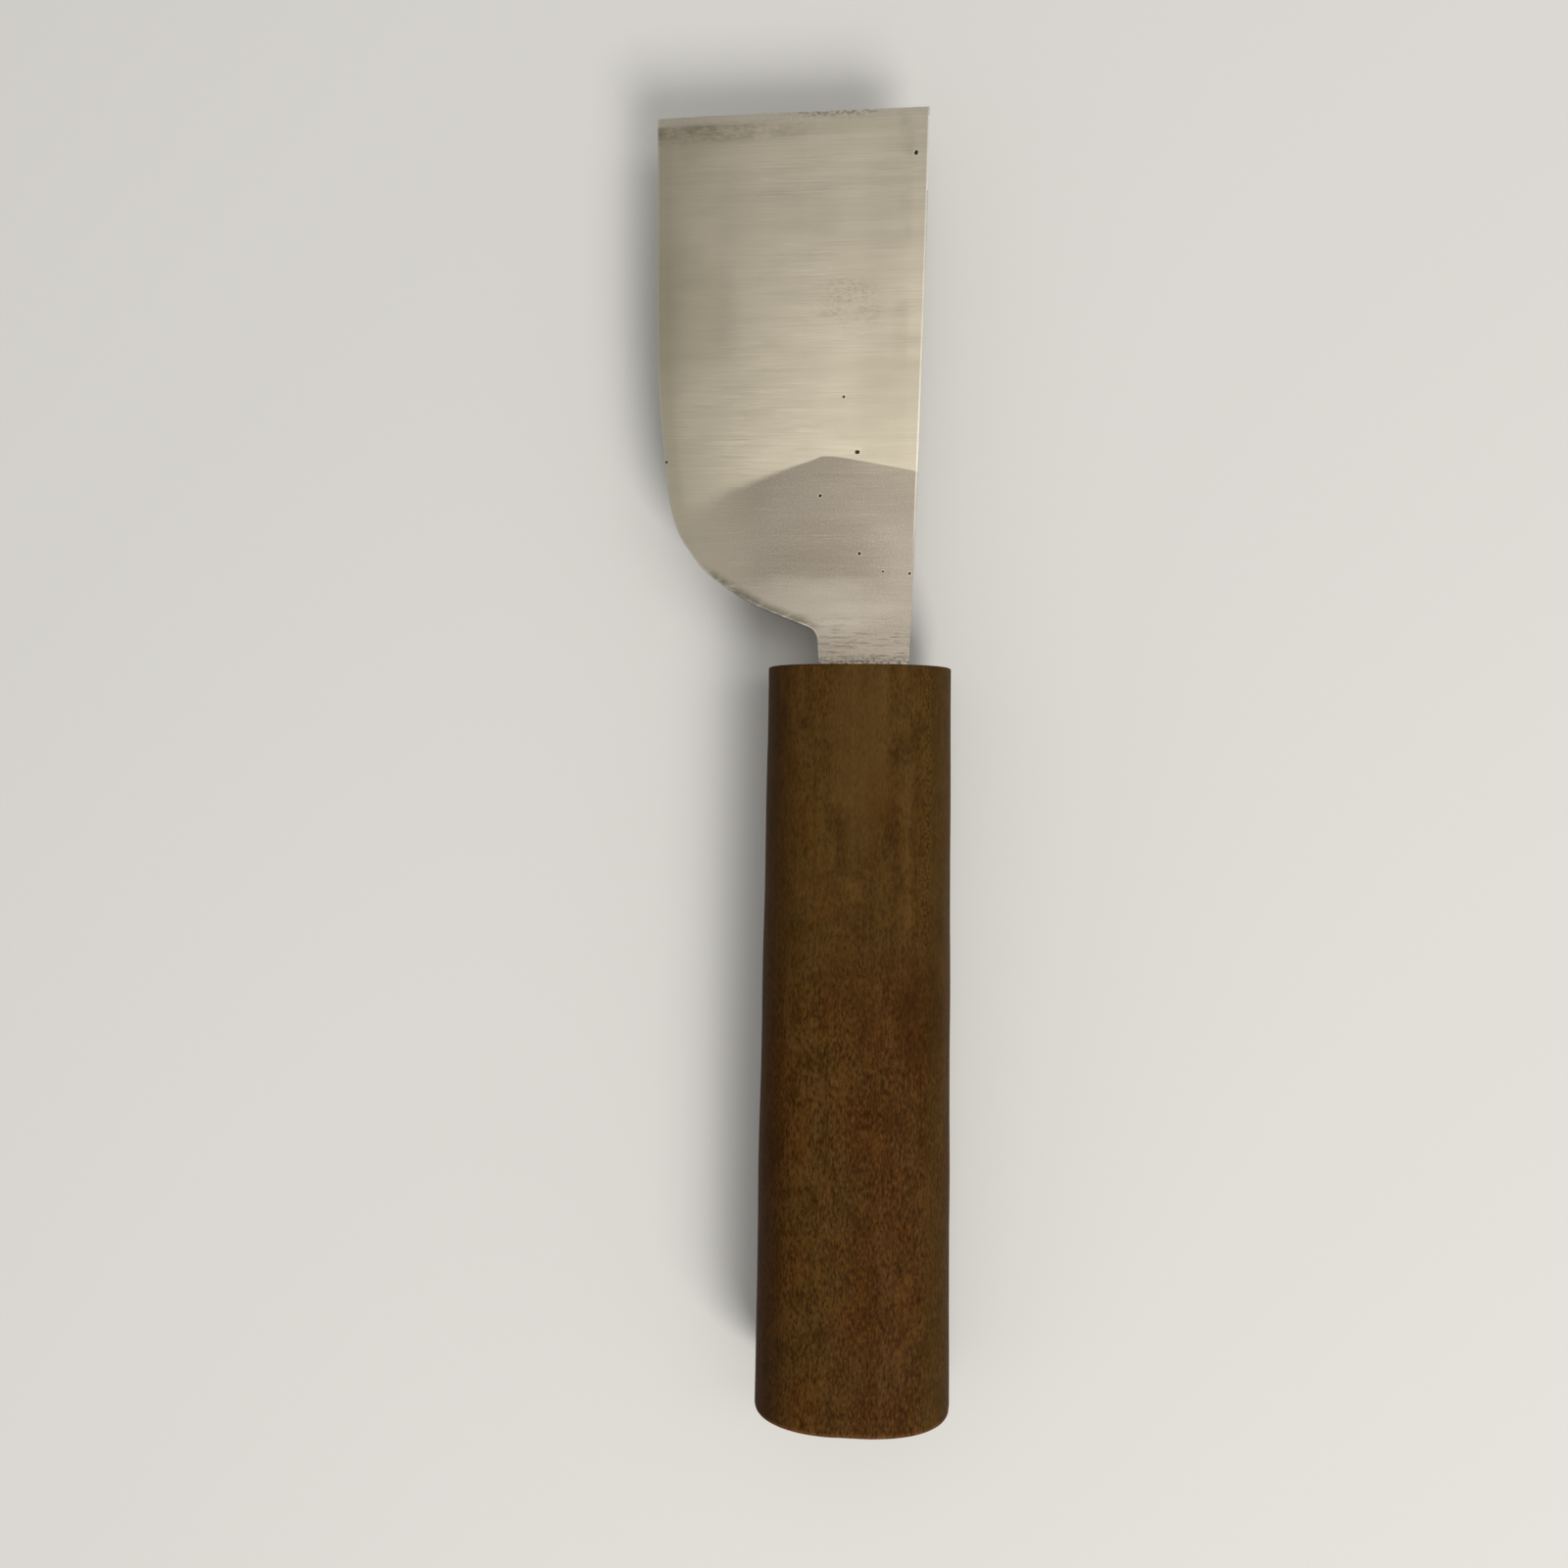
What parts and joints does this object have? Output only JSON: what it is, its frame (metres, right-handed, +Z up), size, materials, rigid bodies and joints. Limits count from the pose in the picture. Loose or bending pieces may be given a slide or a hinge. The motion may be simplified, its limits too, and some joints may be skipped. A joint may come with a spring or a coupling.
{
  "type": "skiving knife",
  "caption": "Leatherworker's skiving knife: wide flat blade, single-bevel skewed edge, rounded heel and narrow neck, in an oval wooden handle.",
  "frame": {"origin": "below the middle of the knife's bounding box, level with the handle's underside", "axes": "+Y along the knife towards the cutting edge, +Z up out of the blade's flat face, +X towards the spine side"},
  "size_m": [0.0406, 0.1716, 0.021],
  "materials": {
    "hard_steel": "ground crosswise, satin",
    "soft_iron": "ground crosswise, dull satin",
    "handle_wood": "bare, smooth, hand-worn",
    "glue": "cured wood glue",
    "bedding": "cured resin, dark"
  },
  "bodies": {
    "root": {"iron_body": "soft_iron", "steel_layer": "hard_steel", "handle_upper_half": "handle_wood", "handle_lower_half": "handle_wood", "handle_glue_film": "glue", "tang_bedding": "bedding"}
  },
  "joints": []
}
